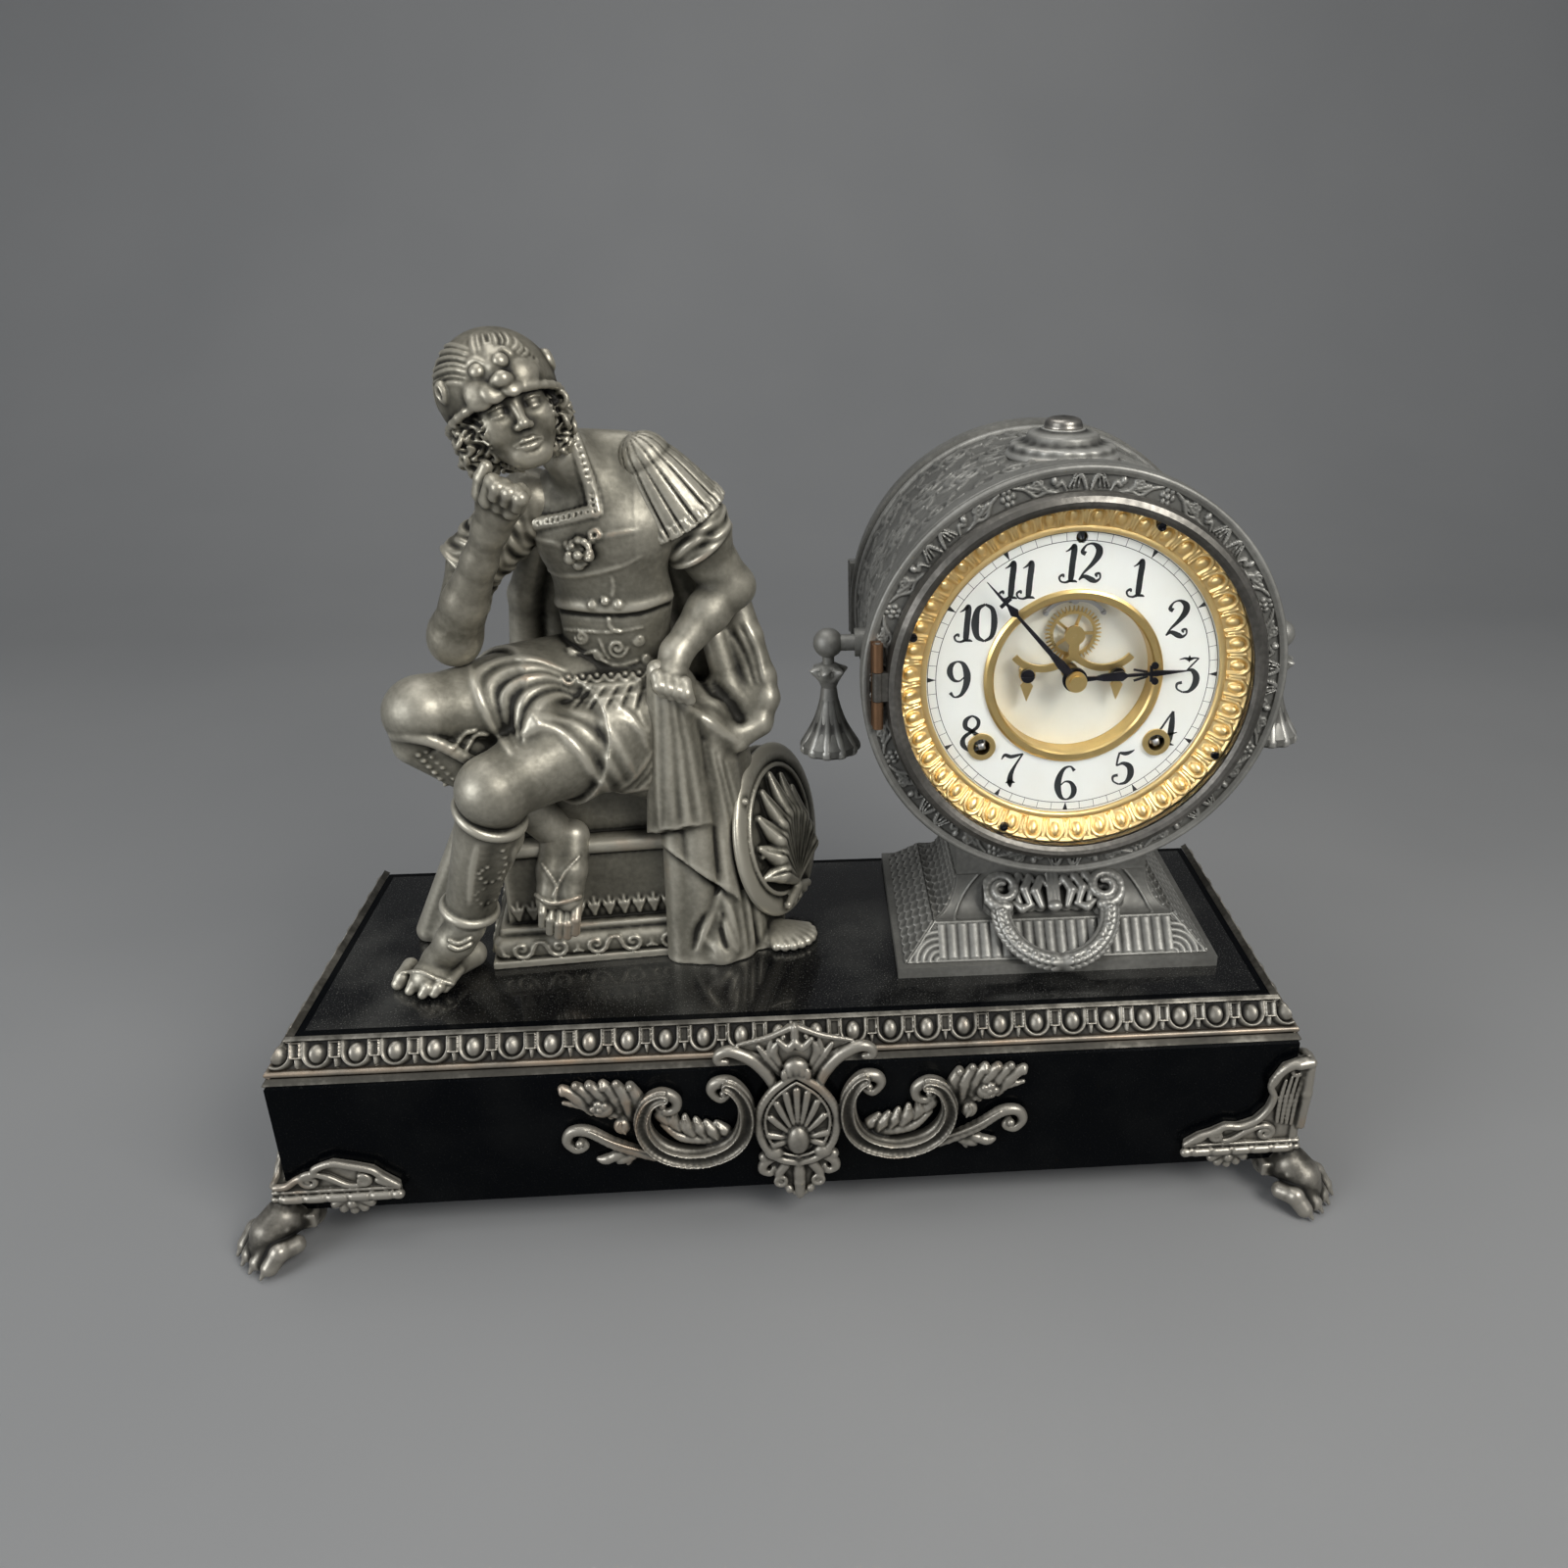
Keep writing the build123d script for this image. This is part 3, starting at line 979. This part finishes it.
escape_points = []
for k in range(ESCAPE_TEETH):
    for share, r in ((0.0, ESCAPE_R), (0.16, ESCAPE_R), (0.3, ESCAPE_R - 2.0), (0.75, ESCAPE_R - 2.2)):
        a = 2 * math.pi * (k + share) / ESCAPE_TEETH
        escape_points.append((r * math.cos(a), r * math.sin(a)))
escape_shape = Polygon(*escape_points, align=None) - Circle(ESCAPE_R - 3.4)
for k in range(5):
    escape_shape += Rot(0, 0, 72 * k) * Pos(ESCAPE_R / 2 - 1, 0) * Rectangle(ESCAPE_R - 3, 1.2)
escape_shape += Circle(3.0)
escape_wheel = slab_y(escape_shape, ESCAPE_Y, ESCAPE_Y + 1.0, DRUM_X, DRUM_Z + ESCAPE_Z)
escape_wheel += gear(ESCAPE_PINION_TEETH, THIRD_MODULE, escape_pinion_phase, *escape_at, THIRD_Y - 0.5, THIRD_Y + 1.5)
escape_wheel += arbor(*escape_at, FINE_ARBOR_R, BRIDGE_Y, back_out)
pivot_holes(*escape_at, FINE_ARBOR_R)


# Escape bridge with its two screws

bridge_shape = Pos(0, ESCAPE_Z) * Circle(4.2) + Pos(0, 11) * Rectangle(4.2, 9)
bridge_screws = []
for side in (-1, 1):
    arm = Spline((0, 9), (side * 5, 5.2), (side * 12, 3.2), (side * 19, 4.4), (side * 24.5, 8.4))
    bridge_shape += trace(arm, 2.8)
    bridge_shape += Pos(side * BRIDGE_FOOT_X, BRIDGE_FOOT_Z) * Circle(3.4)
    bridge_shape += Pos(side * BRIDGE_FOOT_X, 0) * Polygon((-2.6, -4.2), (0, -11), (2.6, -4.2), (0, -1), align=None)
bridge = slab_y(bridge_shape, BRIDGE_Y, BRIDGE_Y + BRIDGE_T, DRUM_X, DRUM_Z)
for side in (-1, 1):
    foot_at = (side * BRIDGE_FOOT_X, BRIDGE_FOOT_Z)
    bridge += arbor(*foot_at, 2.6, BRIDGE_Y + BRIDGE_T, CENTRE_FRONT)
    bridge -= arbor(*foot_at, 1.1 + SEAT, BRIDGE_Y - 1, CENTRE_FRONT - 1)
    head = arbor(*foot_at, 2.9, BRIDGE_Y - 1.5, BRIDGE_Y)
    head -= box(DRUM_X + foot_at[0] - 4, DRUM_X + foot_at[0] + 4, BRIDGE_Y - 2, BRIDGE_Y - 0.8,
                DRUM_Z + foot_at[1] - 0.4, DRUM_Z + foot_at[1] + 0.4)
    bridge_screws.append(head + arbor(*foot_at, 1.1, BRIDGE_Y, CENTRE_FRONT - 1.2))
bridge -= arbor(*escape_at, FINE_ARBOR_R + RUN_FIT, BRIDGE_Y - 1, BRIDGE_Y + BRIDGE_T + 1)


# Pallet anchor with crutch, pendulum, regulator, hammer and gong

PALLET_ARBOR_R = 1.2
anchor_shape = Pos(0, PALLET_Z) * Circle(1.7)
for side in (-1, 1):
    arch = Spline((0, PALLET_Z), (side * 6, PALLET_Z - 0.6), (side * PALLET_PIN_X, PALLET_PIN_Z))
    anchor_shape += trace(arch, 1.6)
    anchor_shape += Pos(side * PALLET_PIN_X, PALLET_PIN_Z) * Circle(1.2)
anchor = slab_y(anchor_shape, ESCAPE_Y - 0.1, ESCAPE_Y + 1.1, DRUM_X, DRUM_Z)
for side in (-1, 1):
    anchor += arbor(side * PALLET_PIN_X, PALLET_PIN_Z, 0.8, ESCAPE_Y - 1.6, ESCAPE_Y)
CRUTCH_Y = 27.0
CRUTCH_L = 34.0
ROD_Y = 33.0
ROD_W = 2.0
crutch_end = PALLET_Z - CRUTCH_L
anchor += arbor(0, PALLET_Z, PALLET_ARBOR_R, ESCAPE_Y, CRUTCH_Y + 1.6)
anchor += box(DRUM_X - 1, DRUM_X + 1, CRUTCH_Y, CRUTCH_Y + 1.6, DRUM_Z + crutch_end, DRUM_Z + PALLET_Z)
anchor += box(DRUM_X - ROD_W - 1.5, DRUM_X + ROD_W + 1.5, CRUTCH_Y, CRUTCH_Y + 1.6, DRUM_Z + crutch_end - 2, DRUM_Z + crutch_end)
for side in (-1, 1):
    anchor += arbor(side * (ROD_W / 2 + GAP + 0.7), crutch_end - 1, 0.7, CRUTCH_Y, ROD_Y + ROD_W + 1)
pivot_holes(0, PALLET_Z, PALLET_ARBOR_R)

COCK_Y = 40.0
cock_stud_r = 1.0
back_plate += box(DRUM_X - 5, DRUM_X + 5, back_out, COCK_Y + 3, DRUM_Z + PALLET_Z + 7, DRUM_Z + PALLET_Z + 13)
back_plate += box(DRUM_X - 4, DRUM_X + 4, COCK_Y, COCK_Y + 3, DRUM_Z + PALLET_Z - 3, DRUM_Z + PALLET_Z + 8)
back_plate += arbor(0, PALLET_Z, cock_stud_r, ROD_Y - 1, COCK_Y)
pendulum = arbor(0, PALLET_Z, 3.0, ROD_Y, ROD_Y + 3)
pendulum += box(DRUM_X - ROD_W / 2, DRUM_X + ROD_W / 2, ROD_Y, ROD_Y + ROD_W,
                DRUM_Z + PALLET_Z - PENDULUM_L, DRUM_Z + PALLET_Z)
bob_z = PALLET_Z - PENDULUM_L + 2
pendulum += turned_y([(0, ROD_Y - 4), (BOB_R - 4, ROD_Y - 3), (BOB_R, ROD_Y), (BOB_R, ROD_Y + 2), (BOB_R - 4, ROD_Y + 5),
                      (0, ROD_Y + 6)], DRUM_X, DRUM_Z + bob_z)
pendulum -= arbor(0, PALLET_Z, cock_stud_r + RUN_FIT, ROD_Y - 1, ROD_Y + 4)

REG_R = 1.2
regulator = arbor(0, REG_Z, REG_R, DIAL_FRONT + 2.2, back_out + 1)
regulator += slab_y(Rectangle(1.6, 1.6), DIAL_FRONT + 0.6, DIAL_FRONT + 2.2, DRUM_X, DRUM_Z + REG_Z)
regulator += arbor(0, REG_Z, 2.6, 4, 14)
pivot_holes(0, REG_Z, REG_R)

GONG_Y = 55.0
GONG_WIRE = 1.6
GONG_C = (2.0, -18.0)
GONG_R0 = 10.0
GONG_STEP = 6.5
GONG_TURNS = 4
arcs = []
gong_r = GONG_R0
gong_x = GONG_C[0]
for k in range(GONG_TURNS * 2):
    start = 0 if k % 2 == 0 else 180
    arcs.append(CenterArc((gong_x, GONG_C[1]), gong_r, start, 180))
    shift = GONG_STEP / 2 if k % 2 == 0 else -GONG_STEP / 2
    gong_x += shift
    gong_r += GONG_STEP / 2
gong_path = Wire([edge for piece in arcs for edge in piece.edges()])
gong_wire = sweep(Plane(origin=gong_path @ 0, z_dir=gong_path % 0) * Circle(GONG_WIRE), path=gong_path)
gong_end = gong_path @ 1
gong = Pos(DRUM_X, GONG_Y, DRUM_Z) * Rot(90, 0, 0) * gong_wire
block_top = DRUM_Z + gong_end.Y
block_x = DRUM_X + gong_end.X
block = box(block_x - 5, block_x + 5, GONG_Y - 5, GONG_Y + 5, DRUM_Z - inner_r - 5, block_top + 3)
gong += block & rod_y(DRUM_X, DRUM_Z, inner_r - SEAT, GONG_Y - 10, GONG_Y + 10)
gong = biggest(gong)

HAMMER_Z = 8.0
HAMMER_L = 26.0
HAMMER_R = 4.0
gong_left = min(vertex.X for vertex in gong_path.vertices()) - GONG_WIRE
hammer_head_x = gong_left - 0.6
HAMMER_X = hammer_head_x - 4.0
hammer = arbor(HAMMER_X, HAMMER_Z, 1.5, front_in - MOVE_PLATE_T, GONG_Y + 2)
hammer += box(DRUM_X + HAMMER_X - 1.2, DRUM_X + HAMMER_X + 1.2, GONG_Y - 1.5, GONG_Y + 1.5,
              DRUM_Z + HAMMER_Z - HAMMER_L, DRUM_Z + HAMMER_Z)
hammer += rod_x(GONG_Y, DRUM_Z + GONG_C[1], HAMMER_R, DRUM_X + HAMMER_X - 4, DRUM_X + hammer_head_x)
pivot_holes(HAMMER_X, HAMMER_Z, 1.5)


# Write every piece to its own file

pieces = {
    "base_shell": shell,
    "top_plate": plate,
    "front_moulding": front_band,
    "side_mouldings": group(side_bands),
    "case_screws": group(screws),
    "front_ornament": ornament,
    "figure_seat": seat,
    "figure_body": figure_body,
    "figure_head": figure_head,
    "figure_right_arm": arm_r,
    "figure_left_arm": arm_l,
    "figure_drapery": drapery,
    "figure_shield": shield,
    "pedestal": stand,
    "pedestal_wreath": wreath,
    "drum_shell": drum,
    "drum_front_ring": front_ring,
    "drum_finial": finial,
    "side_ornament_left": ornament_left,
    "side_ornament_right": ornament_right,
    "rear_door": rear_door,
    "hinge_pins": group(pins),
    "door_rim": door,
    "door_glass": glass,
    "door_hinge_leaf": hinge_leaf,
    "sight_ring": sight,
    "sight_ring_screws": group(sight_screws),
    "dial_ring": dial,
    "dial_well": well,
    "dial_centre": centre_disc,
    "winding_grommets": group(grommets),
    "hour_hand": hour_hand,
    "minute_hand": minute_hand,
    "hand_nut": nut,
    "cannon_pinion": cannon,
    "minute_wheel": minute_wheel,
    "hour_wheel": hour_wheel,
    "escape_wheel": escape_wheel,
    "escape_bridge": bridge,
    "bridge_screws": group(bridge_screws),
    "pallet_anchor": anchor,
    "pendulum": pendulum,
    "movement_front_plate": front_plate,
    "movement_back_plate": back_plate,
    "movement_pillars": group(pillars),
    "second_wheel": second_wheel,
    "centre_wheel": centre_wheel,
    "third_wheel": third_wheel,
    "time_great_wheel": time_barrel,
    "strike_great_wheel": strike_barrel,
    "time_winding_arbor": time_arbor,
    "strike_winding_arbor": strike_arbor,
    "strike_hammer": hammer,
    "strike_gong": gong,
    "regulator_arbor": regulator,
}
pieces.update(feet)
for name, shape in pieces.items():
    save(name, shape)
print(len(pieces), "pieces")
